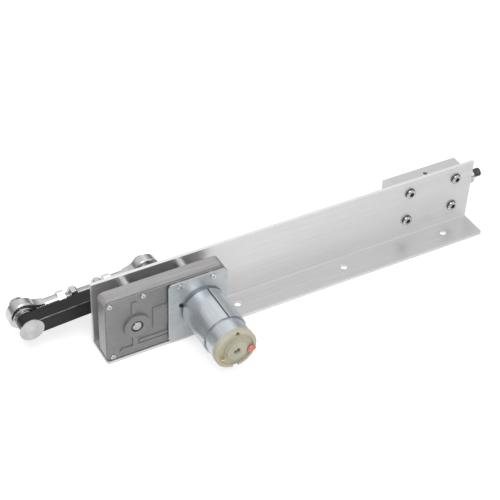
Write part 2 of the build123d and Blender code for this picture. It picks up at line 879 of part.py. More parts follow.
def across_rod(distance):
    """Plane across the connecting rod at a distance from the crank pin, facing the slide."""
    origin = rod_plane.from_local_coords((distance, 0, 0))
    return Plane(origin=origin, x_dir=(0, 1, 0), z_dir=rod_direction)


def rod_end(eye_at, side):
    """The housing of a female rod end, with its eye at eye_at and its shank pointing by side."""
    with BuildPart() as part:
        with BuildSketch(rod_plane):
            with Locations((eye_at, 0)):
                Circle(eye_r)
        extrude(amount=eye_width / 2, both=True)
        rims = part.edges().filter_by(GeomType.CIRCLE)
        chamfer(rims, length=1.0)
        with BuildSketch(rod_plane):
            with BuildLine():
                upper = ThreePointArc(
                    (eye_at + side * 5.0, 11.6),
                    (eye_at + side * 11.4, 7.1),
                    (eye_at + side * neck_end, shank_r - 0.1),
                )
                lower = mirror(upper, about=Plane.XZ)
                Line(upper @ 0, lower @ 0)
                Line(upper @ 1, lower @ 1)
            make_face()
        extrude(amount=neck_width / 2, both=True)
        with BuildSketch(across_rod(eye_at + side * shank_start)):
            Circle(shank_r)
        extrude(amount=side * (rod_end_reach - shank_start))
        with BuildSketch(across_rod(eye_at + side * rod_end_reach)):
            RegularPolygon(rod_end_across / 2, 6, major_radius=False, rotation=30)
        extrude(amount=-side * rod_end_hex)
        with Locations(Location(rod_plane.from_local_coords((eye_at, 0, 0)))):
            Sphere(ball_r + slip, mode=Mode.SUBTRACT)
        with BuildSketch(across_rod(eye_at + side * rod_end_reach)):
            Circle(thread_d / 2 + 0.02)
        extrude(amount=-side * (stud_depth + 1), mode=Mode.SUBTRACT)
    return part


save(rod_end(0, 1), "pin_rod_end")
save(rod_end(rod_length, -1), "slide_rod_end")

stud_start = rod_end_reach - stud_depth
with BuildPart() as rod_stud:
    with BuildSketch(across_rod(stud_start)):
        Circle(thread_d / 2)
    extrude(amount=rod_length - 2 * stud_start)
save(rod_stud, "rod_stud")

jam_nut_height = 6.5
left_nut = across_rod(rod_end_reach + left_nut_gap)
right_nut = across_rod(rod_length - rod_end_reach - right_nut_gap - jam_nut_height)
with BuildPart() as jam_nuts:
    for place in (left_nut, right_nut):
        add(hex_nut(place, nut_across, jam_nut_height, thread_d + 0.04).part)
save(jam_nuts, "jam_nuts")

save(ball(pivot_x, pivot_z), "slide_ball")

block_side = 16.0
eye_face = slide_y + block_side / 2
stud_tail = nut_start + pivot_nut_height + 0.6
with BuildPart() as pivot_stud:
    with BuildSketch(facing(stud_tail)):
        with Locations(pivot_place):
            Circle(bolt_d / 2)
    extrude(amount=stud_tail - eye_face - gap)
    with BuildSketch(facing(ball_front)):
        with Locations(pivot_place):
            Circle(6.5)
    extrude(amount=ball_front - eye_face - gap)
    chamfer(pivot_stud.edges().group_by(Axis.Y)[-1], length=0.8)
save(pivot_stud, "pivot_stud")

pivot_nut_plane = Plane(origin=(pivot_x, nut_start, pivot_z), x_dir=(1, 0, 0), z_dir=(0, 1, 0))
save(hex_nut(pivot_nut_plane, nut_across, pivot_nut_height, bolt_d + 0.04, turn=30), "pivot_nut")

# Slide

block_reach = 9.5
tip_depth = 14.0
relief_d = 6.6
relief_width = 1.2
with BuildPart() as slide_shaft:
    with BuildSketch(along_x(pivot_x - block_reach)):
        RectangleRounded(block_side, block_side, 1.5)
    extrude(amount=2 * block_reach)
    with BuildSketch(along_x(pivot_x)):
        Circle(slide_d / 2)
    extrude(amount=slide_end - pivot_x)
    chamfer(slide_shaft.edges().group_by(Axis.X)[-1], length=0.8)
    with BuildSketch(facing(eye_face)):
        with Locations(pivot_place):
            Circle(bolt_d / 2 - 0.6)
    extrude(amount=block_side - 3, mode=Mode.SUBTRACT)
    with BuildSketch(along_x(slide_end)):
        Circle(thread_d / 2 + 0.02)
    extrude(amount=-tip_depth - 1, mode=Mode.SUBTRACT)
save(slide_shaft, "slide_shaft")

with BuildPart() as tip_stud:
    with BuildSketch(along_x(slide_end - tip_depth)):
        Circle(thread_d / 2)
    extrude(amount=stud_end - slide_end + tip_depth)
    chamfer(tip_stud.edges().group_by(Axis.X)[-1], length=0.8)
    with BuildSketch(along_x(slide_end - 0.4)):
        Circle(thread_d / 2 + 1)
        Circle(relief_d / 2, mode=Mode.SUBTRACT)
    extrude(amount=relief_width, mode=Mode.SUBTRACT)
save(tip_stud, "tip_stud")

# Guide block

block_rear = sheet + block_depth
block_chamfer = 6.0
block_screw_depth = 15.0
oil_hole = (304.5, 12.5)
with BuildPart() as guide_block:
    with BuildSketch(along_x(block_x - block_length / 2, sheet + block_depth / 2)):
        Rectangle(block_depth, block_height)
    extrude(amount=block_length)
    chamfer(guide_block.edges().filter_by(Axis.X).group_by(Axis.Y)[-1], length=block_chamfer)
    with BuildSketch(along_x(block_x - block_length / 2)):
        Circle(slide_d / 2 + 0.6)
    extrude(amount=block_length, mode=Mode.SUBTRACT)
    for start, turn in ((block_x - block_length / 2, 1), (block_x + block_length / 2, -1)):
        with BuildSketch(along_x(start)):
            Circle(bush_od / 2 + 0.01)
        extrude(amount=turn * bush_length, mode=Mode.SUBTRACT)
    with BuildSketch(facing(sheet)):
        with Locations(*block_screw_places):
            Circle(block_screw_d / 2 + slip)
    extrude(amount=-block_screw_depth, mode=Mode.SUBTRACT)
    with BuildSketch(Plane.XY.offset(slide_z + block_height / 2)):
        with Locations(oil_hole):
            Circle(2.0)
    extrude(amount=-block_height / 2 + slide_d / 2, mode=Mode.SUBTRACT)
save(guide_block, "guide_block")

with BuildPart() as slide_bushes:
    for start, turn in ((block_x - block_length / 2, 1), (block_x + block_length / 2, -1)):
        with BuildSketch(along_x(start)):
            Circle(bush_od / 2)
            Circle(slide_d / 2 + slip, mode=Mode.SUBTRACT)
        extrude(amount=turn * bush_length)
save(slide_bushes, "slide_bushes")

block_head_d = 9.8
block_head_height = 2.8
with BuildPart() as block_screws:
    with BuildSketch(facing(0)):
        with Locations(*block_screw_places):
            Circle(block_head_d / 2)
    extrude(amount=block_head_height)
    fillet(block_screws.edges().group_by(Axis.Y)[0], radius=1.8)
    with BuildSketch(facing(0)):
        with Locations(*block_screw_places):
            Circle(block_screw_d / 2)
    extrude(amount=-(sheet + block_screw_depth - 1))
    with BuildSketch(facing(-block_head_height)):
        with Locations(*block_screw_places):
            RegularPolygon(2.0, 6, major_radius=False)
    extrude(amount=-1.8, mode=Mode.SUBTRACT)
save(block_screws, "block_screws")
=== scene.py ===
"""Looks of the reciprocating linear actuator, and the studio that it stands in.

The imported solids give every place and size. Each sub-assembly below smooths and bevels its
solids, cuts its threads, and gives every surface its finish. Lengths are in millimetres until
they reach a mesh, which is in metres.
"""

import json
import logging
from collections.abc import Callable
from dataclasses import dataclass, field
from enum import Enum
from math import atan2, cos, pi, radians, sin

import bmesh
import bpy
from mathutils import Matrix, Vector

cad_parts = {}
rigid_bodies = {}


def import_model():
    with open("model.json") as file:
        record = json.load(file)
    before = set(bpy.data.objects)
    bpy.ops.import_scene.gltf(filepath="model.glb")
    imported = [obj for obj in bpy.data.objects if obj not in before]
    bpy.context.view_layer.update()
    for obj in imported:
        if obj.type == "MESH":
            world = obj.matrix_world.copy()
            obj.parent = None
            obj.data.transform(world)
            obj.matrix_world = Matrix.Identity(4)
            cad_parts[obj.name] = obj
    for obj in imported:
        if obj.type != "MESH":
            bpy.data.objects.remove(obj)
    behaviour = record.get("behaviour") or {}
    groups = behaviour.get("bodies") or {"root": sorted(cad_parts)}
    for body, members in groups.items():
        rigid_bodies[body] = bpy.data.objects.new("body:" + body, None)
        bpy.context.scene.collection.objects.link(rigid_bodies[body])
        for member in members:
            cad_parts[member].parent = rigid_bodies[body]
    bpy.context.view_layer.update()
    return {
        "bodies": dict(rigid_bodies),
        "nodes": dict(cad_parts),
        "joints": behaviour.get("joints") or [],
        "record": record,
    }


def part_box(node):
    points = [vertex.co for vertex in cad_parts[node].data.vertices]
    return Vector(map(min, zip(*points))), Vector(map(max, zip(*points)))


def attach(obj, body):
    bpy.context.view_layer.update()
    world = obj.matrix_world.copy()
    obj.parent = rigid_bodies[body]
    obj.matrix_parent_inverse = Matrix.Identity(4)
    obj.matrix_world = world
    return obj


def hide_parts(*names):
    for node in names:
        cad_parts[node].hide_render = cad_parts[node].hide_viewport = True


LOG = logging.getLogger("actuator")
MM = 0.001

# Sockets of the relief groups.
RELIEF_INPUTS = {"Vector": "NodeSocketVector", "Stretch": "NodeSocketVector"}
RELIEF_OUTPUTS = {"Height": "NodeSocketFloat", "Tone": "NodeSocketFloat"}

# Noise levels at which a finish has its dark and light colour, and is clean and handled.
TONE_STOPS = (0.38, 0.62)
SMUDGE_RANGE = (0.35, 0.7)

PEBBLES_PER_METRE = 1400.0
PEBBLE_SHARE = 0.4
COAT_ROUGHNESS = 0.12

# A normal's part along an axis, for a face that looks along it, slants to it or lies across it.
FACING = 0.9
SLANTED = 0.5
ACROSS = 0.35

# Height past which a face of the angle that looks up is its top edge.
TOP_EDGE_MM = 60.0


class Grain(Enum):
    """Direction of a metal's brushing or turning marks, as noise stretch per axis."""

    ALONG_X = (1.0, 30.0, 30.0)
    ALONG_Y = (30.0, 1.0, 30.0)
    EVEN = (12.0, 12.0, 12.0)


class Texture(Enum):
    """Kind of relief on a surface, as the name of its node group."""

    BRUSHED = "brushed_grain"
    CAST = "cast_skin"
    MOULDED = "moulded_skin"


class NodeGroups:
    """Shader node groups that the finishes share, each built once."""

    def __init__(self) -> None:
        """Build the grain, skin and smudge groups."""
        self.brushed = self._brushed_grain()
        self.cast = self._cast_skin()
        self.moulded = self._moulded_skin()
        self.smudges = self._smudges()

    def relief(self, texture: Texture) -> bpy.types.NodeTree:
        """Return the group that makes a texture's relief."""
        table = {Texture.BRUSHED: self.brushed, Texture.CAST: self.cast, Texture.MOULDED: self.moulded}
        return table[texture]

    @staticmethod
    def _tree(name: str, inputs: dict[str, str], outputs: dict[str, str]) -> bpy.types.NodeTree:
        """Make an empty group with its sockets.

        Args:
            name: The group's name.
            inputs: Socket type by name.
            outputs: Socket type by name.

        Returns:
            The group, with its input and output nodes named "in" and "out".
        """
        tree = bpy.data.node_groups.new(name, "ShaderNodeTree")
        for socket, kind in inputs.items():
            tree.interface.new_socket(socket, in_out="INPUT", socket_type=kind)
        for socket, kind in outputs.items():
            tree.interface.new_socket(socket, in_out="OUTPUT", socket_type=kind)
        tree.nodes.new("NodeGroupInput").name = "in"
        tree.nodes.new("NodeGroupOutput").name = "out"
        return tree

    @staticmethod
    def _noise(tree: bpy.types.NodeTree, scale: float, detail: float, rough: float) -> bpy.types.Node:
        """Add a noise node.

        Args:
            tree: The group that it goes into.
            scale: How many features to a metre.
            detail: How many finer layers.
            rough: How strong the finer layers are.

        Returns:
            The node.
        """
        noise = tree.nodes.new("ShaderNodeTexNoise")
        noise.inputs["Scale"].default_value = scale
        noise.inputs["Detail"].default_value = detail
        noise.inputs["Roughness"].default_value = rough
        return noise

    @staticmethod
    def _math(
        tree: bpy.types.NodeTree,
        operation: str,
        a: bpy.types.NodeSocket | float,
        b: bpy.types.NodeSocket | float,
    ) -> bpy.types.NodeSocket:
        """Add a maths node.

        Args:
            tree: The group that it goes into.
            operation: Blender's name of the operation.
            a: A socket or a number.
            b: A socket or a number.

        Returns:
            The node's output socket.
        """
        node = tree.nodes.new("ShaderNodeMath")
        node.operation = operation
        for socket, value in zip(node.inputs, (a, b)):
            if isinstance(value, (int, float)):
                socket.default_value = value
            else:
                tree.links.new(value, socket)
        return node.outputs[0]

    def _brushed_grain(self) -> bpy.types.NodeTree:
        """Build the group of fine streaks along one axis, with a few deeper scratches.

        Returns:
            The group.
        """
        tree = self._tree(Texture.BRUSHED.value, RELIEF_INPUTS, RELIEF_OUTPUTS)
        stretched = tree.nodes.new("ShaderNodeVectorMath")
        stretched.operation = "MULTIPLY"
        tree.links.new(tree.nodes["in"].outputs["Vector"], stretched.inputs[0])
        tree.links.new(tree.nodes["in"].outputs["Stretch"], stretched.inputs[1])
        fine = self._noise(tree, scale=60.0, detail=4.0, rough=0.6)
        coarse = self._noise(tree, scale=12.0, detail=3.0, rough=0.5)
        tree.links.new(stretched.outputs[0], fine.inputs["Vector"])
        tree.links.new(stretched.outputs[0], coarse.inputs["Vector"])
        both = self._math(tree, "ADD", fine.outputs["Fac"], coarse.outputs["Fac"])
        half = self._math(tree, "MULTIPLY", both, 0.5)
        tree.links.new(fine.outputs["Fac"], tree.nodes["out"].inputs["Height"])
        tree.links.new(half, tree.nodes["out"].inputs["Tone"])
        return tree

    def _cast_skin(self) -> bpy.types.NodeTree:
        """Build the group of a die casting's pebbled skin, with faint flow marks.

        Returns:
            The group.
        """
        tree = self._tree(Texture.CAST.value, RELIEF_INPUTS, RELIEF_OUTPUTS)
        pebbles = tree.nodes.new("ShaderNodeTexVoronoi")
        pebbles.inputs["Scale"].default_value = PEBBLES_PER_METRE
        skin = self._noise(tree, scale=420.0, detail=5.0, rough=0.6)
        flow = self._noise(tree, scale=28.0, detail=3.0, rough=0.5)
        for node in (pebbles, skin, flow):
            tree.links.new(tree.nodes["in"].outputs["Vector"], node.inputs["Vector"])
        relief = self._math(tree, "MULTIPLY", pebbles.outputs["Distance"], PEBBLE_SHARE)
        height = self._math(tree, "ADD", relief, skin.outputs["Fac"])
        mixed = self._math(tree, "ADD", flow.outputs["Fac"], skin.outputs["Fac"])
        tone = self._math(tree, "MULTIPLY", mixed, 0.5)
        tree.links.new(height, tree.nodes["out"].inputs["Height"])
        tree.links.new(tone, tree.nodes["out"].inputs["Tone"])
        return tree

    def _moulded_skin(self) -> bpy.types.NodeTree:
        """Build the group of a moulded plastic's faint, soft relief.

        Returns:
            The group.
        """
        tree = self._tree(Texture.MOULDED.value, RELIEF_INPUTS, RELIEF_OUTPUTS)
        skin = self._noise(tree, scale=700.0, detail=2.0, rough=0.5)
        cloud = self._noise(tree, scale=60.0, detail=2.0, rough=0.5)
        for node in (skin, cloud):
            tree.links.new(tree.nodes["in"].outputs["Vector"], node.inputs["Vector"])
        tree.links.new(skin.outputs["Fac"], tree.nodes["out"].inputs["Height"])
        tree.links.new(cloud.outputs["Fac"], tree.nodes["out"].inputs["Tone"])
        return tree

    def _smudges(self) -> bpy.types.NodeTree:
        """Build the group of handling and oil, which changes how rough a surface is.

        Returns:
            The group.
        """
        tree = self._tree(
            "smudges",
            {"Vector": "NodeSocketVector", "Clean": "NodeSocketFloat", "Handled": "NodeSocketFloat"},
            {"Roughness": "NodeSocketFloat"},
        )
        patches = self._noise(tree, scale=45.0, detail=4.0, rough=0.55)
        tree.links.new(tree.nodes["in"].outputs["Vector"], patches.inputs["Vector"])
        ramp = tree.nodes.new("ShaderNodeMapRange")
        ramp.inputs["From Min"].default_value = SMUDGE_RANGE[0]
        ramp.inputs["From Max"].default_value = SMUDGE_RANGE[1]
        tree.links.new(patches.outputs["Fac"], ramp.inputs["Value"])
        tree.links.new(tree.nodes["in"].outputs["Clean"], ramp.inputs["To Min"])
        tree.links.new(tree.nodes["in"].outputs["Handled"], ramp.inputs["To Max"])
        tree.links.new(ramp.outputs["Result"], tree.nodes["out"].inputs["Roughness"])
        return tree


@dataclass(frozen=True)
class Finish:
    """How one kind of surface looks.

    Attributes:
        name: The material's name.
        light: Colour of the raised or clean parts.
        dark: Colour of the hollows and darker patches.
        metallic: 1 for bare metal, less where a film covers it.
        roughness: Roughness where clean and where handled.
        texture: Kind of relief.
        grain: Direction of the relief.
        relief_mm: Depth of the relief.
        coat: Weight of a clear film.
    """

    name: str
    light: tuple[float, float, float]
    dark: tuple[float, float, float]
    metallic: float = 1.0
    roughness: tuple[float, float] = (0.3, 0.4)
    texture: Texture = Texture.BRUSHED
    grain: Grain = Grain.EVEN
    relief_mm: float = 0.004
    coat: float = 0.0

    def material(self, groups: NodeGroups) -> bpy.types.Material:
        """Return this finish's material, building it the first time.

        Args:
            groups: The shared node groups.

        Returns:
            The material.
        """
        if self.name in bpy.data.materials:
            return bpy.data.materials[self.name]
        made = bpy.data.materials.new(self.name)
        made.use_nodes = True
        tree = made.node_tree
        shader = tree.nodes["Principled BSDF"]
        shader.inputs["Metallic"].default_value = self.metallic
        if self.coat:
            shader.inputs["Coat Weight"].default_value = self.coat
            shader.inputs["Coat Roughness"].default_value = COAT_ROUGHNESS
        place = tree.nodes.new("ShaderNodeTexCoord").outputs["Object"]
        relief = tree.nodes.new("ShaderNodeGroup")
        relief.node_tree = groups.relief(self.texture)
        relief.inputs["Stretch"].default_value = self.grain.value
        tree.links.new(place, relief.inputs["Vector"])
        colours = tree.nodes.new("ShaderNodeValToRGB")
        stops = colours.color_ramp.elements
        for stop, position, colour in zip(stops, TONE_STOPS, (self.dark, self.light)):
            stop.position = position
            stop.color = (*colour, 1.0)
        tree.links.new(relief.outputs["Tone"], colours.inputs["Fac"])
        tree.links.new(colours.outputs["Color"], shader.inputs["Base Color"])
        smudges = tree.nodes.new("ShaderNodeGroup")
        smudges.node_tree = groups.smudges
        smudges.inputs["Clean"].default_value = self.roughness[0]
        smudges.inputs["Handled"].default_value = self.roughness[1]
        tree.links.new(place, smudges.inputs["Vector"])
        tree.links.new(smudges.outputs["Roughness"], shader.inputs["Roughness"])
        bump = tree.nodes.new("ShaderNodeBump")
        bump.inputs["Distance"].default_value = self.relief_mm * MM
        tree.links.new(relief.outputs["Height"], bump.inputs["Height"])
        tree.links.new(bump.outputs["Normal"], shader.inputs["Normal"])
        return made


SATIN_ALUMINIUM = Finish(
    "satin_aluminium", (0.79, 0.785, 0.79), (0.73, 0.725, 0.73),
    metallic=0.85, roughness=(0.36, 0.46), grain=Grain.ALONG_X, relief_mm=0.006,
)
# Painted highlight: the angle's top edge, left end and bevels are near white, to stand in for the light
# that falls on them.
PAINTED_HIGHLIGHT_ALUMINIUM = Finish(
    "painted_highlight_aluminium", (0.94, 0.94, 0.94), (0.88, 0.88, 0.88),
    metallic=0.5, roughness=(0.3, 0.4), grain=Grain.ALONG_X, relief_mm=0.004,
)
BLOCK_ALUMINIUM = Finish(
    "block_aluminium", (0.80, 0.80, 0.80), (0.74, 0.74, 0.745),
    metallic=0.8, roughness=(0.38, 0.48), grain=Grain.ALONG_X, relief_mm=0.004,
)
CAST_HOUSING = Finish(
    "cast_housing", (0.54, 0.528, 0.528), (0.41, 0.40, 0.40),
    metallic=0.75, roughness=(0.4, 0.52), grain=Grain.ALONG_X, relief_mm=0.014,
)
CAST_COVER = Finish(
    "cast_cover", (0.32, 0.32, 0.322), (0.265, 0.265, 0.267),
    metallic=0.7, roughness=(0.46, 0.58), texture=Texture.CAST, relief_mm=0.03,
)
# Painted highlight: the bevelled edges of the gearbox housing and cover are lighter than the cast faces,
# to stand in for light caught by the edges.
PAINTED_CAST_HIGHLIGHT = Finish(
    "painted_cast_highlight", (0.56, 0.56, 0.56), (0.40, 0.40, 0.40),
    metallic=0.8, roughness=(0.34, 0.45), texture=Texture.CAST, relief_mm=0.02,
)
BLUE_ZINC = Finish(
    "blue_zinc", (0.57, 0.595, 0.61), (0.49, 0.515, 0.53),
    metallic=0.8, roughness=(0.34, 0.46), grain=Grain.EVEN, relief_mm=0.003,
)
DRAWN_ZINC = Finish(
    "drawn_zinc", (0.74, 0.785, 0.82), (0.66, 0.70, 0.735),
    metallic=0.85, roughness=(0.26, 0.36), grain=Grain.ALONG_Y, relief_mm=0.003,
)
# Painted shade: the flux ring's bevelled edges are near black, to stand in for the shade in the gaps at
# the ring's ends and seam.
PAINTED_RING_GAP_SHADE = Finish(
    "painted_ring_gap_shade", (0.20, 0.20, 0.21), (0.10, 0.10, 0.11), metallic=0.8, roughness=(0.4, 0.5),
)
BRIGHT_ZINC = Finish(
    "bright_zinc", (0.71, 0.715, 0.72), (0.60, 0.605, 0.61), roughness=(0.2, 0.32), relief_mm=0.003,
)
POLISHED_STEEL = Finish(
    "polished_steel", (0.61, 0.61, 0.615), (0.50, 0.50, 0.505), roughness=(0.08, 0.16), relief_mm=0.001,
)
# Painted shade: the socket walls and head rims of the block screws are near black, to stand in for the
# shade in the sockets and round the heads.
PAINTED_SOCKET_SHADE = Finish("painted_socket_shade", (0.16, 0.155, 0.16), (0.08, 0.08, 0.085), roughness=(0.25, 0.35))
# Painted shade: the crank pin's bevelled edges are darker than its polished steel, to stand in for shade
# round the base of the domed head.
PAINTED_DOME_SHADE = Finish("painted_dome_shade", (0.36, 0.36, 0.365), (0.28, 0.28, 0.285), roughness=(0.25, 0.35))
PLATED_EYE = Finish(
    "plated_eye", (0.72, 0.72, 0.725), (0.64, 0.64, 0.645), roughness=(0.2, 0.3), relief_mm=0.003,
)
GROUND_STEEL = Finish(
    "ground_steel", (0.56, 0.56, 0.565), (0.44, 0.44, 0.445), roughness=(0.2, 0.3), relief_mm=0.002,
)
HARD_CHROME = Finish(
    "hard_chrome", (0.66, 0.665, 0.67), (0.60, 0.605, 0.61), roughness=(0.1, 0.18), relief_mm=0.001,
)
GEAR_STEEL = Finish(
    "gear_steel", (0.56, 0.565, 0.57), (0.46, 0.465, 0.47), roughness=(0.3, 0.42),
)
BLACK_BAR = Finish(
    "black_bar", (0.021, 0.021, 0.022), (0.010, 0.010, 0.011),
    metallic=0.3, roughness=(0.36, 0.5), grain=Grain.ALONG_X, relief_mm=0.01,
)
# Painted highlight: the black bar's bevelled edges and the chamfer of its upper front edge are light
# grey, to stand in for the light caught along that edge.
PAINTED_BAR_HIGHLIGHT = Finish(
    "painted_bar_highlight", (0.40, 0.40, 0.40), (0.05, 0.05, 0.05),
    metallic=0.8, roughness=(0.3, 0.4), grain=Grain.ALONG_X, relief_mm=0.004,
)
BLACK_OXIDE = Finish(
    "black_oxide", (0.36, 0.35, 0.36), (0.16, 0.155, 0.16), metallic=0.9, roughness=(0.26, 0.36),
)
CREAM_NYLON = Finish(
    "cream_nylon", (0.58, 0.55, 0.43), (0.51, 0.48, 0.365),
    metallic=0.0, roughness=(0.36, 0.48), texture=Texture.MOULDED, relief_mm=0.012,
)
RED_PAINT = Finish(
    "red_paint", (0.74, 0.24, 0.20), (0.54, 0.05, 0.10),
    metallic=0.0, roughness=(0.25, 0.4), texture=Texture.MOULDED, relief_mm=0.02, coat=0.4,
)
BRASS = Finish("brass", (0.86, 0.78, 0.42), (0.76, 0.67, 0.33), roughness=(0.24, 0.34))
BRONZE = Finish(
    "sintered_bronze", (0.62, 0.46, 0.25), (0.50, 0.36, 0.19), roughness=(0.4, 0.55),
    texture=Texture.CAST, relief_mm=0.01,
)
# Dark iron for the bushes; on the output front bush the darkness is also painted shade of the gap round
# the shaft end.
OILED_IRON_GAP_SHADE = Finish(
    "oiled_iron_gap_shade", (0.16, 0.155, 0.15), (0.09, 0.088, 0.085), metallic=0.8, roughness=(0.3, 0.45),
    texture=Texture.CAST, relief_mm=0.01,
)
COPPER = Finish("copper", (0.75, 0.36, 0.20), (0.62, 0.28, 0.15), roughness=(0.24, 0.36))
FERRITE = Finish(
    "ferrite", (0.11, 0.11, 0.115), (0.07, 0.07, 0.075), metallic=0.2, roughness=(0.5, 0.65),
    texture=Texture.CAST, relief_mm=0.01,
)
CARBON = Finish(
    "carbon", (0.06, 0.06, 0.062), (0.035, 0.035, 0.037), metallic=0.1, roughness=(0.45, 0.6),
    texture=Texture.MOULDED,
)


@dataclass(frozen=True)
class Dress:
    """What one solid gets.

    Attributes:
        finish: Its surface.
        edge_mm: Width of the bevel on its sharp edges, or 0 to leave the solid as it is.
        edge: Surface of the bevels if it differs; these edge surfaces are painted highlights and painted
            shade.
    """

    finish: Finish
    edge_mm: float = 0.0
    edge: Finish | None = None


class Workshop:
    """Makes and registers pieces for the sub-assemblies.

    Attributes:
        flat_angle: Faces that meet at less than this are merged into one.
        crease_angle: Edges sharper than this are bevelled and shaded as edges.
        merge_m: Corners closer than this are merged.
    """

    flat_angle = radians(0.6)
    crease_angle = radians(32)
    merge_m = 2e-6

    def __init__(self, frame: dict) -> None:
        """Keep the loaded frame and build the shared node groups.
        """
        self.nodes = frame["nodes"]
        self.body_of = {
            node: body
            for body, members in frame["record"]["behaviour"]["bodies"].items()
            for node in members
        }
        self.groups = NodeGroups()

    def finish_solid(self, node: str, finish: Finish) -> None:
        """Give a solid its material and leave its shape alone.

        Args:
            node: The solid's name.
            finish: Its surface.
        """
        mesh = self.nodes[node].data
        material = finish.material(self.groups)
        for index in range(len(mesh.materials)):
            mesh.materials[index] = material

    def stand_in(self, node: str, piece: bpy.types.Object, *finishes: Finish) -> None:
        """Put a piece in a solid's place.

        Args:
            node: The solid's name.
            piece: The piece that shows in its place.
            finishes: The piece's surfaces, in the order of its material slots.
        """
        piece.data.materials.clear()
        for finish in finishes:
            piece.data.materials.append(finish.material(self.groups))
        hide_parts(node)
        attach(piece, self.body_of[node])
        LOG.info("%s: %d faces, %s", piece.name, len(piece.data.polygons), finishes[0].name)

    def add_part(self, piece: bpy.types.Object, beside: str, finish: Finish) -> None:
        """Add a piece that no solid stands for.

        Args:
            piece: The new piece.
            beside: The solid that it is fixed to.
            finish: The piece's surface.
        """
        piece.data.materials.append(finish.material(self.groups))
        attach(piece, self.body_of[beside])
        LOG.info("%s: %d faces, on %s", piece.name, len(piece.data.polygons), beside)

    def soften(self, node: str, edge_mm: float) -> bpy.types.Object:
        """Copy a solid with merged corners, smooth rounds and bevelled edges.

        Args:
            node: The solid's name.
            edge_mm: Width of the bevel.

        Returns:
            The copy.
        """
        bm = bmesh.new()
        bm.from_mesh(self.nodes[node].data)
        bmesh.ops.remove_doubles(bm, verts=bm.verts, dist=self.merge_m)
        bmesh.ops.dissolve_limit(
            bm, angle_limit=self.flat_angle, verts=bm.verts, edges=bm.edges, delimit=set()
        )
        piece = self.object_from(bm, f"{node}_surface")
        bevel = piece.modifiers.new("edges", "BEVEL")
        bevel.width = edge_mm * MM
        bevel.segments = 2
        bevel.limit_method = "ANGLE"
        bevel.angle_limit = self.crease_angle
        bevel.harden_normals = True
        bevel.use_clamp_overlap = True
        return piece

    @staticmethod
    def paint_faces(piece: bpy.types.Object, slot: int, wanted: Callable[[Vector, Vector], bool]) -> None:
        """Move the faces that a test picks to another material slot.

        Args:
            piece: The piece.
            slot: The slot's number.
            wanted: Told a face's centre and normal, says whether it moves.
        """
        for face in piece.data.polygons:
            if wanted(face.center, face.normal):
                face.material_index = slot

    def object_from(self, bm: bmesh.types.BMesh, name: str) -> bpy.types.Object:
        """Finish a bmesh into an object with smooth rounds.

        Args:
            bm: The mesh, which is freed.
            name: The object's name.

        Returns:
            The object, linked to the scene.
        """
        for face in bm.faces:
            face.smooth = True
        for edge in bm.edges:
            edge.smooth = edge.calc_face_angle(0.0) < self.crease_angle
        mesh = bpy.data.meshes.new(name)
        bm.to_mesh(mesh)
        bm.free()
        piece = bpy.data.objects.new(name, mesh)
        bpy.context.scene.collection.objects.link(piece)
        return piece


@dataclass
class SubAssembly:
    """A group of solids that are dressed together.

    Attributes:
        dresses: What each solid gets.
        edge_faces: Test for the faces that take the edge's surface too, by solid.
    """

    dresses: dict[str, Dress] = field(default_factory=dict)
    edge_faces: dict[str, Callable[[Vector, Vector], bool]] = field(default_factory=dict)

    def build(self, shop: Workshop) -> None:
        """Dress every solid of the group.

        Args:
            shop: Makes and registers the pieces.
        """
        for node, dress in self.dresses.items():
            if dress.edge:
                piece = shop.soften(node, dress.edge_mm)
                piece.modifiers["edges"].material = 1
                shop.stand_in(node, piece, dress.finish, dress.edge)
                if node in self.edge_faces:
                    shop.paint_faces(piece, 1, self.edge_faces[node])
            elif dress.edge_mm:
                shop.stand_in(node, shop.soften(node, dress.edge_mm), dress.finish)
            else:
                shop.finish_solid(node, dress.finish)
        LOG.info("%s: %d solids dressed", type(self).__name__, len(self.dresses))


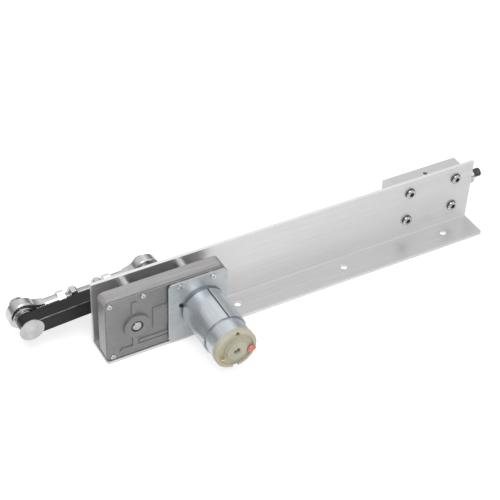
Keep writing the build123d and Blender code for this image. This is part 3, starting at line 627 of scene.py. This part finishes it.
@dataclass
class Thread:
    """A metric thread cut round a stud.

    Attributes:
        start: Centre of one end, in metres.
        end: Centre of the other end, in metres.
        crest_mm: Radius over the crests.
        pitch_mm: Distance from crest to crest.
        depth_share: Depth of the groove as a share of the pitch.
        root_flat: Where the flat in the groove ends, as a share of the pitch.
        crest_flat: Where the flat on the crest starts and ends, as shares of the pitch.
        steps: Faces round one turn.
        spare_turns: Turns past the two ends together, which are cut off.
        merge_share: Corners closer than this share of the pitch are merged.
    """

    start: Vector
    end: Vector
    crest_mm: float = 4.0
    pitch_mm: float = 1.25
    depth_share: float = 0.6134
    root_flat: float = 0.12
    crest_flat: tuple[float, float] = (0.5, 0.62)
    steps: int = 24
    spare_turns: int = 3
    merge_share: float = 0.01

    def mesh(self) -> bmesh.types.BMesh:
        """Spin one thread's profile along the stud and cut both ends square.

        Returns:
            The closed thread.
        """
        along = (self.end - self.start).normalized()
        length = (self.end - self.start).length
        pitch = self.pitch_mm * MM
        crest = self.crest_mm * MM
        root = crest - self.depth_share * pitch
        turns = int(length / pitch) + self.spare_turns
        bm = bmesh.new()
        profile = (
            (root, 0.0),
            (root, pitch * self.root_flat),
            (crest, pitch * self.crest_flat[0]),
            (crest, pitch * self.crest_flat[1]),
            (root, pitch),
        )
        before = self.spare_turns / 2 * pitch
        points = [bm.verts.new((r, 0.0, z - before)) for r, z in profile]
        edges = [bm.edges.new(pair) for pair in zip(points, points[1:])]
        bmesh.ops.spin(
            bm,
            geom=points + edges,
            cent=(0.0, 0.0, 0.0),
            axis=(0.0, 0.0, 1.0),
            dvec=(0.0, 0.0, pitch / self.steps),
            angle=2 * pi * turns,
            steps=self.steps * turns,
            use_merge=False,
        )
        bmesh.ops.remove_doubles(bm, verts=bm.verts, dist=pitch * self.merge_share)
        for height, side in ((0.0, -1.0), (length, 1.0)):
            bmesh.ops.bisect_plane(
                bm,
                geom=bm.verts[:] + bm.edges[:] + bm.faces[:],
                plane_co=(0.0, 0.0, height),
                plane_no=(0.0, 0.0, side),
                clear_outer=True,
            )
        bmesh.ops.holes_fill(bm, edges=[e for e in bm.edges if e.is_boundary], sides=0)
        bmesh.ops.recalc_face_normals(bm, faces=bm.faces)
        turn = Vector((0.0, 0.0, 1.0)).rotation_difference(along).to_matrix().to_4x4()
        bmesh.ops.transform(bm, matrix=Matrix.Translation(self.start) @ turn, verts=bm.verts)
        return bm


def is_painted_highlight_face(centre: Vector, normal: Vector) -> bool:
    """Say whether a face of the angle is its top edge or left end, which get a painted highlight."""
    return (normal.z > FACING and centre.z > TOP_EDGE_MM * MM) or normal.x < -FACING


def is_painted_socket_shade(centre: Vector, normal: Vector) -> bool:
    """Say whether a face of a block screw is its socket's wall or its head's rim, which get painted
    shade.
    """
    return centre.y < 0 and abs(normal.y) < ACROSS


def is_highlighted_chamfer(_centre: Vector, normal: Vector) -> bool:
    """Say whether a face of the bar is the chamfer of its upper front edge, which gets a painted
    highlight.
    """
    return SLANTED < -normal.y < FACING and normal.z > 0


@dataclass
class Bracket(SubAssembly):
    """The long angle, and the guide block screwed to it."""

    dresses: dict[str, Dress] = field(default_factory=lambda: {
        "angle_bracket": Dress(SATIN_ALUMINIUM, 0.3, PAINTED_HIGHLIGHT_ALUMINIUM),
        "guide_block": Dress(BLOCK_ALUMINIUM, 0.3),
        "slide_bushes": Dress(BRONZE, 0.2),
        "block_screws": Dress(POLISHED_STEEL, 0.2, PAINTED_SOCKET_SHADE),
    })
    edge_faces: dict[str, Callable[[Vector, Vector], bool]] = field(default_factory=lambda: {
        "angle_bracket": is_painted_highlight_face,
        "block_screws": is_painted_socket_shade,
    })


@dataclass
class Gearbox(SubAssembly):
    """The cast box, its cover, posts, screws and gears."""

    dresses: dict[str, Dress] = field(default_factory=lambda: {
        "gearbox_housing": Dress(CAST_HOUSING, 0.3, PAINTED_CAST_HIGHLIGHT),
        "gearbox_cover": Dress(CAST_COVER, 0.35, PAINTED_CAST_HIGHLIGHT),
        "cover_screws": Dress(BRIGHT_ZINC, 0.12),
        "spacer_posts": Dress(BRIGHT_ZINC, 0.2),
        "post_screws": Dress(BRIGHT_ZINC, 0.12),
        "output_rear_bush": Dress(BRONZE),
        "output_front_bush": Dress(OILED_IRON_GAP_SHADE, 0.15),
        "first_axle": Dress(GROUND_STEEL),
        "second_axle": Dress(GROUND_STEEL),
        "first_gear": Dress(GEAR_STEEL),
        "first_pinion": Dress(GEAR_STEEL),
        "second_gear": Dress(GEAR_STEEL),
        "second_pinion": Dress(GEAR_STEEL),
        "output_gear": Dress(GEAR_STEEL),
        "motor_pinion": Dress(BRASS),
    })


@dataclass
class Motor(SubAssembly):
    """The motor with its plate, ring and end cap, and what is inside.

    Attributes:
        paint_size_mm: Half the width, thickness and height of the paint's drop.
        paint_wobble: How uneven the drop's outline is.
        paint_waves: Waves round the outline: how many, how strong, and where they start.
        paint_depth_mm: How far its middle lies inside the end cap's face.
    """

    dresses: dict[str, Dress] = field(default_factory=lambda: {
        "motor_plate": Dress(BLUE_ZINC, 0.2),
        "plate_screws": Dress(BRIGHT_ZINC, 0.12),
        "motor_screws": Dress(BRIGHT_ZINC),
        "motor_can": Dress(DRAWN_ZINC, 0.2),
        "flux_ring": Dress(DRAWN_ZINC, 0.4, PAINTED_RING_GAP_SHADE),
        "motor_end_cap": Dress(CREAM_NYLON, 0.25),
        "motor_terminals": Dress(BRASS, 0.12),
        "motor_rear_bush": Dress(OILED_IRON_GAP_SHADE, 0.15),
        "motor_front_bush": Dress(BRONZE),
        "motor_magnets": Dress(FERRITE),
        "motor_brushes": Dress(CARBON),
        "motor_shaft": Dress(GROUND_STEEL, 0.1),
        "armature": Dress(GROUND_STEEL),
        "armature_windings": Dress(COPPER),
        "commutator": Dress(COPPER),
    })
    paint_size_mm: tuple[float, float, float] = (3.6, 1.9, 3.3)
    paint_wobble: float = 0.14
    paint_waves: tuple[tuple[float, float, float], ...] = ((2, 1.0, 0.7), (3, 0.6, 2.0))
    paint_depth_mm: float = 0.3

    def build(self, shop: Workshop) -> None:
        """Dress the motor and put the dab of red paint round its right terminal.

        Args:
            shop: Makes and registers the pieces.
        """
        super().build(shop)
        cap_low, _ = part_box("motor_end_cap")
        low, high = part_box("motor_terminals")
        right_blade = [
            vertex.co for vertex in shop.nodes["motor_terminals"].data.vertices
            if vertex.co.x > (low.x + high.x) / 2
        ]
        across = [co.x for co in right_blade]
        centre = Vector((
            (min(across) + max(across)) / 2,
            cap_low.y + self.paint_depth_mm * MM,
            (low.z + high.z) / 2,
        ))
        shop.add_part(shop.object_from(self._dab(centre), "red_dab"), "motor_end_cap", RED_PAINT)

    def _dab(self, centre: Vector) -> bmesh.types.BMesh:
        """Make a flat drop of paint with an uneven outline.

        Args:
            centre: Its centre, in metres.

        Returns:
            The drop.
        """
        bm = bmesh.new()
        bmesh.ops.create_uvsphere(bm, u_segments=40, v_segments=20, radius=1.0)
        width, height, depth = (size * MM for size in self.paint_size_mm)
        for vertex in bm.verts:
            turn = atan2(vertex.co.z, vertex.co.x)
            waves = sum(share * sin(count * turn + start) for count, share, start in self.paint_waves)
            uneven = 1 + self.paint_wobble * waves
            spot = vertex.co * uneven
            vertex.co = centre + Vector((spot.x * width, vertex.co.y * height, spot.z * depth))
        return bm


@dataclass
class Crank(SubAssembly):
    """The crank shaft, the black bar and the pin with its domed head."""

    dresses: dict[str, Dress] = field(default_factory=lambda: {
        "output_shaft": Dress(GROUND_STEEL, 0.2),
        "crank_bar": Dress(BLACK_BAR, 0.25, PAINTED_BAR_HIGHLIGHT),
        "crank_set_screw": Dress(BLACK_OXIDE, 0.1),
        "crank_pin": Dress(POLISHED_STEEL, 0.3, PAINTED_DOME_SHADE),
        "pin_washer": Dress(BRIGHT_ZINC, 0.12),
        "pin_spacer": Dress(BRIGHT_ZINC, 0.25),
        "pin_ball": Dress(POLISHED_STEEL, 0.15),
        "pin_nut": Dress(BRIGHT_ZINC, 0.12),
    })
    edge_faces: dict[str, Callable[[Vector, Vector], bool]] = field(default_factory=lambda: {
        "crank_bar": is_highlighted_chamfer,
    })


@dataclass
class ConnectingRod(SubAssembly):
    """The two rod ends on their threaded stud, and the pivot at the slide.

    Attributes:
        stud_radius_mm: Radius of the stud between the rod ends.
    """

    dresses: dict[str, Dress] = field(default_factory=lambda: {
        "pin_rod_end": Dress(PLATED_EYE, 0.25),
        "slide_rod_end": Dress(PLATED_EYE, 0.25),
        "jam_nuts": Dress(BRIGHT_ZINC, 0.12),
        "slide_ball": Dress(POLISHED_STEEL, 0.15),
        "pivot_stud": Dress(BRIGHT_ZINC, 0.2),
        "pivot_nut": Dress(BRIGHT_ZINC, 0.12),
    })
    stud_radius_mm: float = 4.0

    def build(self, shop: Workshop) -> None:
        """Dress the rod and thread its stud.

        Args:
            shop: Makes and registers the pieces.
        """
        super().build(shop)
        low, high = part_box("rod_stud")
        tilt = (high.z - low.z - 2 * self.stud_radius_mm * MM) / (high.x - low.x)
        middle_y = (low.y + high.y) / 2
        inset = self.stud_radius_mm * MM * tilt
        start = Vector((low.x + inset / 2, middle_y, low.z + self.stud_radius_mm * MM))
        end = Vector((high.x - inset / 2, middle_y, high.z - self.stud_radius_mm * MM))
        thread = Thread(start, end)
        shop.stand_in("rod_stud", shop.object_from(thread.mesh(), "rod_stud_thread"), BRIGHT_ZINC)


@dataclass
class Slide(SubAssembly):
    """The slide shaft and the threaded stud in its end."""

    dresses: dict[str, Dress] = field(default_factory=lambda: {
        "slide_shaft": Dress(HARD_CHROME, 0.3),
    })

    def build(self, shop: Workshop) -> None:
        """Dress the shaft and thread its tip.

        Args:
            shop: Makes and registers the pieces.
        """
        super().build(shop)
        low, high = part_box("tip_stud")
        middle = (low + high) / 2
        start = Vector((low.x, middle.y, middle.z))
        end = Vector((high.x, middle.y, middle.z))
        thread = Thread(start, end)
        shop.stand_in("tip_stud", shop.object_from(thread.mesh(), "tip_stud_thread"), BLACK_OXIDE)


@dataclass(frozen=True)
class Lamp:
    """A soft lamp that faces the object.

    Attributes:
        name: The lamp's name.
        place: Its place, in metres.
        size: Its width and height, in metres.
        power: Its power, in watts.
    """

    name: str
    place: tuple[float, float, float]
    size: tuple[float, float]
    power: float


@dataclass
class Studio:
    """Floor, lamps, world and the camera at the photograph's angle.

    Attributes:
        camera_mm: The camera's place.
        azimuth: Its turn about the vertical, in degrees, from looking along +Y.
        elevation: Its height angle, in degrees.
        roll: Its tilt about the line of sight, in degrees.
        focal_px: Its focal length in pixels of the photograph.
        photo_px: The photograph's width.
        sensor_mm: Width of the camera's sensor.
        floor_m: Half the floor's width.
        floor_drop_mm: How far the floor lies below the flange.
        floor_colour: The floor's colour, with its alpha.
        floor_glow: How much white the camera sees added to the floor.
        mirrored_glow: Share of that glow that a metal mirrors, where it is strongest.
        sky: Grey level by a direction's height: pairs of height and level, the two ends first.
        sides: Share of that level by a direction's part to the right, as such pairs.
        floor_fade: Share of the mirrored glow by the place to the right, in metres, as such pairs.
        lamps: The lamps.
        aim: The place that the lamps face, in metres.
    """

    camera_mm: tuple[float, float, float] = (-317.94, -737.84, 779.83)
    azimuth: float = -30.591
    elevation: float = 40.513
    roll: float = 2.754
    focal_px: float = 1336.0
    photo_px: float = 500.0
    sensor_mm: float = 36.0
    floor_m: float = 3.0
    floor_drop_mm: float = 0.05
    floor_colour: tuple[float, float, float, float] = (0.82, 0.82, 0.82, 1.0)
    floor_glow: float = 0.5
    mirrored_glow: float = 0.5
    sky: tuple[tuple[float, float], ...] = ((0.0, 0.38), (1.0, 1.0), (0.25, 0.32), (0.6, 1.0))
    sides: tuple[tuple[float, float], ...] = ((0.0, 0.75), (0.6, 0.65), (0.2, 0.95), (0.35, 1.0))
    floor_fade: tuple[tuple[float, float], ...] = ((0.05, 1.0), (0.4, 0.3))
    lamps: tuple[Lamp, ...] = (
        Lamp("key", (-0.15, -0.5, 1.1), (0.7, 0.7), 5.4),
        Lamp("fill", (0.9, -0.8, 0.5), (0.6, 0.6), 0.8),
    )
    aim: tuple[float, float, float] = (0.13, 0.0, 0.03)

    def build(self) -> None:
        """Put up the whole studio."""
        bpy.context.scene.view_settings.view_transform = "Standard"
        self._floor()
        self._world()
        for lamp in self.lamps:
            self._hang(lamp)
        self._camera()

    def _camera(self) -> None:
        """Place the camera that was fitted to the photograph."""
        turn, rise, roll = radians(self.azimuth), radians(self.elevation), radians(self.roll)
        back = Vector((sin(turn) * cos(rise), -cos(turn) * cos(rise), sin(rise)))
        right = Vector((cos(turn), sin(turn), 0.0))
        up = back.cross(right)
        rolled_right = cos(roll) * right + sin(roll) * up
        rolled_up = -sin(roll) * right + cos(roll) * up
        data = bpy.data.cameras.new("photo_camera")
        data.sensor_width = self.sensor_mm
        data.lens = self.sensor_mm * self.focal_px / self.photo_px
        data.clip_start = 0.01
        data.clip_end = 20.0
        camera = bpy.data.objects.new("photo_camera", data)
        axes = Matrix((rolled_right, rolled_up, back)).transposed().to_4x4()
        camera.matrix_world = Matrix.Translation(Vector(self.camera_mm) * MM) @ axes
        bpy.context.scene.collection.objects.link(camera)
        bpy.context.scene.camera = camera

    def _hang(self, lamp: Lamp) -> None:
        """Hang a lamp so that it faces the object.

        Args:
            lamp: The lamp.
        """
        data = bpy.data.lights.new(lamp.name, "AREA")
        data.shape = "RECTANGLE"
        data.size, data.size_y = lamp.size
        data.energy = lamp.power
        hung = bpy.data.objects.new(lamp.name, data)
        turn = (Vector(self.aim) - Vector(lamp.place)).to_track_quat("-Z", "Y")
        hung.matrix_world = Matrix.Translation(lamp.place) @ turn.to_matrix().to_4x4()
        bpy.context.scene.collection.objects.link(hung)

    def _seen(self, tree: bpy.types.NodeTree) -> bpy.types.NodeSocket:
        """Say how much of its glow the floor shows.

        Args:
            tree: The floor's node tree.

        Returns:
            A socket that is 1 where the camera looks at the floor, and less in a reflection.
        """
        path = tree.nodes.new("ShaderNodeLightPath")
        along = tree.nodes.new("ShaderNodeSeparateXYZ")
        tree.links.new(tree.nodes.new("ShaderNodeTexCoord").outputs["Object"], along.inputs[0])
        fade = tree.nodes.new("ShaderNodeMath")
        fade.operation = "MULTIPLY"
        fade.inputs[1].default_value = self.mirrored_glow
        tree.links.new(self._ramp(tree, along.outputs["X"], self.floor_fade), fade.inputs[0])
        share = tree.nodes.new("ShaderNodeMath")
        share.operation = "MULTIPLY_ADD"
        tree.links.new(path.outputs["Is Glossy Ray"], share.inputs[0])
        tree.links.new(fade.outputs[0], share.inputs[1])
        tree.links.new(path.outputs["Is Camera Ray"], share.inputs[2])
        return share.outputs[0]

    def _floor(self) -> None:
        """Lay the pale floor, which keeps the object's shadow."""
        bm = bmesh.new()
        bmesh.ops.create_grid(bm, x_segments=1, y_segments=1, size=self.floor_m)
        bmesh.ops.translate(bm, verts=bm.verts, vec=(0.0, 0.0, -self.floor_drop_mm * MM))
        mesh = bpy.data.meshes.new("floor")
        bm.to_mesh(mesh)
        bm.free()
        floor = bpy.data.objects.new("floor", mesh)
        bpy.context.scene.collection.objects.link(floor)
        material = bpy.data.materials.new("pale_floor")
        material.use_nodes = True
        tree = material.node_tree
        shader = tree.nodes["Principled BSDF"]
        shader.inputs["Base Color"].default_value = self.floor_colour
        shader.inputs["Roughness"].default_value = 0.9
        shader.inputs["Specular IOR Level"].default_value = 0.0
        shader.inputs["Emission Color"].default_value = (1.0, 1.0, 1.0, 1.0)
        glow = tree.nodes.new("ShaderNodeMath")
        glow.operation = "MULTIPLY"
        glow.inputs[1].default_value = self.floor_glow
        tree.links.new(self._seen(tree), glow.inputs[0])
        tree.links.new(glow.outputs[0], shader.inputs["Emission Strength"])
        mesh.materials.append(material)

    @staticmethod
    def _ramp(
        tree: bpy.types.NodeTree, way: bpy.types.NodeSocket, stops: tuple[tuple[float, float], ...]
    ) -> bpy.types.NodeSocket:
        """Return a grey level that changes along one axis.

        Args:
            tree: The node tree of the world or the floor.
            way: The direction's or the place's part along the axis.
            stops: Places on that axis, each with its grey level, the two ends first.

        Returns:
            The level.
        """
        ramp = tree.nodes.new("ShaderNodeValToRGB")
        for element, (place, level) in zip(ramp.color_ramp.elements, stops):
            element.position = place
            element.color = (level, level, level, 1.0)
        for place, level in stops[2:]:
            ramp.color_ramp.elements.new(place).color = (level, level, level, 1.0)
        tree.links.new(way, ramp.inputs["Fac"])
        return ramp.outputs["Color"]

    def _world(self) -> None:
        """Surround the object with white light that is weaker low down and to both sides."""
        world = bpy.data.worlds.new("studio")
        bpy.context.scene.world = world
        world.use_nodes = True
        tree = world.node_tree
        background = tree.nodes["Background"]
        split = tree.nodes.new("ShaderNodeSeparateXYZ")
        tree.links.new(tree.nodes.new("ShaderNodeTexCoord").outputs["Generated"], split.inputs[0])
        height = self._ramp(tree, split.outputs["Z"], self.sky)
        side = self._ramp(tree, split.outputs["X"], self.sides)
        level = tree.nodes.new("ShaderNodeMath")
        level.operation = "MULTIPLY"
        tree.links.new(height, level.inputs[0])
        tree.links.new(side, level.inputs[1])
        white = tree.nodes.new("ShaderNodeMix")
        white.data_type = "RGBA"
        white.inputs["B"].default_value = (1.0, 1.0, 1.0, 1.0)
        path = tree.nodes.new("ShaderNodeLightPath")
        tree.links.new(path.outputs["Is Camera Ray"], white.inputs["Factor"])
        tree.links.new(level.outputs[0], white.inputs["A"])
        tree.links.new(white.outputs["Result"], background.inputs["Color"])


def main() -> None:
    """Load the frame, dress it, and put up the studio."""
    logging.basicConfig(level=logging.INFO, format="%(name)s: %(message)s")
    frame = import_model()
    shop = Workshop(frame)
    for assembly in (Bracket(), Gearbox(), Motor(), Crank(), ConnectingRod(), Slide()):
        assembly.build(shop)
    Studio().build()


if __name__ == "__main__":
    main()
